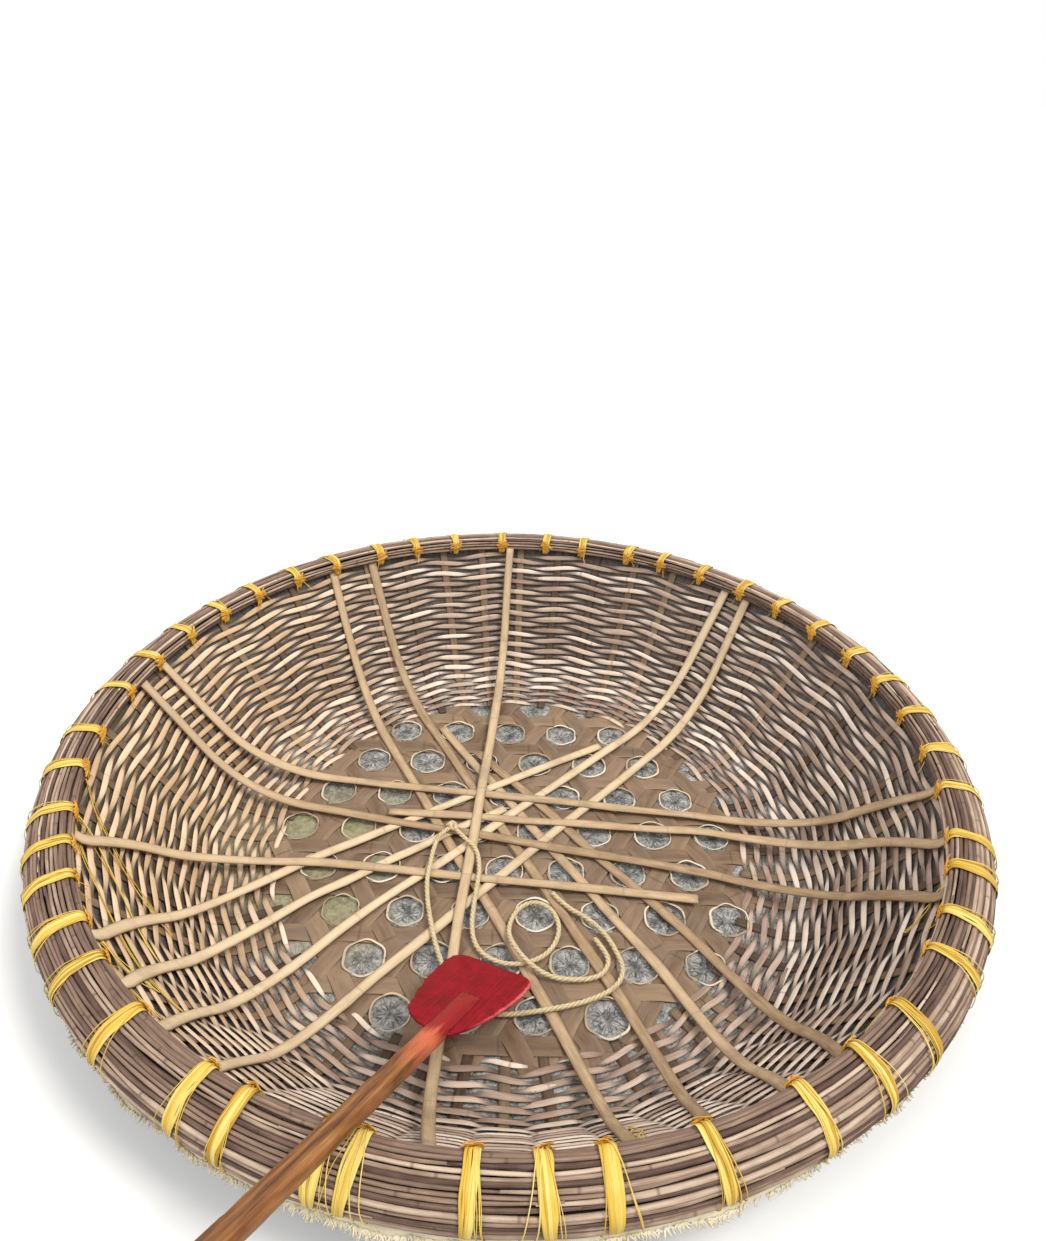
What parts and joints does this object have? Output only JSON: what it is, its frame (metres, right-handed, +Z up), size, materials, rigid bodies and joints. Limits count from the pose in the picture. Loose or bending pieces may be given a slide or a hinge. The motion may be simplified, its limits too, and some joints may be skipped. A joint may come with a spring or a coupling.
{
  "type": "round woven bamboo coracle with paddle and rope",
  "caption": "Round flat-bottomed basket boat: woven bamboo bowl with a lashed cane rim, long ribs and a waterproof skin, with its short-bladed paddle and a rope lying inside.",
  "frame": {"origin": "centre of the flat bottom, on the skin's outer face", "axes": "+Z up, out of the open bowl; -Y towards the near rim, where the paddle leans out; +X to the right of that view"},
  "size_m": [2.5456, 2.9157, 0.8908],
  "materials": {
    "skin": "woven plastic sheet, crackled and weathered",
    "bamboo_wall": "dry split bamboo, matte",
    "bamboo_floor": "worn brown split bamboo",
    "bamboo_rib": "pale split bamboo, satin",
    "bamboo_rim": "weathered bamboo canes",
    "plastic_strap": "yellow plastic twine",
    "red_paint": "worn red gloss paint on wood",
    "varnished_wood": "varnished, worn",
    "rope": "laid fibre rope"
  },
  "bodies": {
    "hull": {"hull_skin": "skin", "skin_hem": "skin", "wall_stakes": "bamboo_wall", "wall_weavers": "bamboo_wall", "knuckle_hoops": "bamboo_wall", "floor_strips_across": "bamboo_floor", "floor_strips_right": "bamboo_floor", "floor_strips_left": "bamboo_floor", "inner_hoop": "bamboo_rim", "rim_core": "bamboo_rim", "rim_canes": "bamboo_rim", "rim_lashings": "plastic_strap", "rope_short": "rope", "rope_long": "rope", "rope_knot": "rope", "rib_right_1": "bamboo_rib", "rib_right_2": "bamboo_rib", "rib_right_3": "bamboo_rib", "rib_right_4": "bamboo_rib", "rib_left_1": "bamboo_rib", "rib_left_2": "bamboo_rib", "rib_left_3": "bamboo_rib", "rib_left_4": "bamboo_rib", "rib_cross_1": "bamboo_rib", "rib_cross_2": "bamboo_rib", "rib_cross_3": "bamboo_rib", "rib_cross_4": "bamboo_rib", "rib_ahead": "bamboo_rib"},
    "paddle": {"paddle_blade": "red_paint", "paddle_shaft": "varnished_wood"}
  },
  "joints": [
    {"name": "paddle_lift", "type": "slide", "parent": "hull", "child": "paddle", "axis": [0, 0, 1], "range_m": [0, 0.6]}
  ]
}
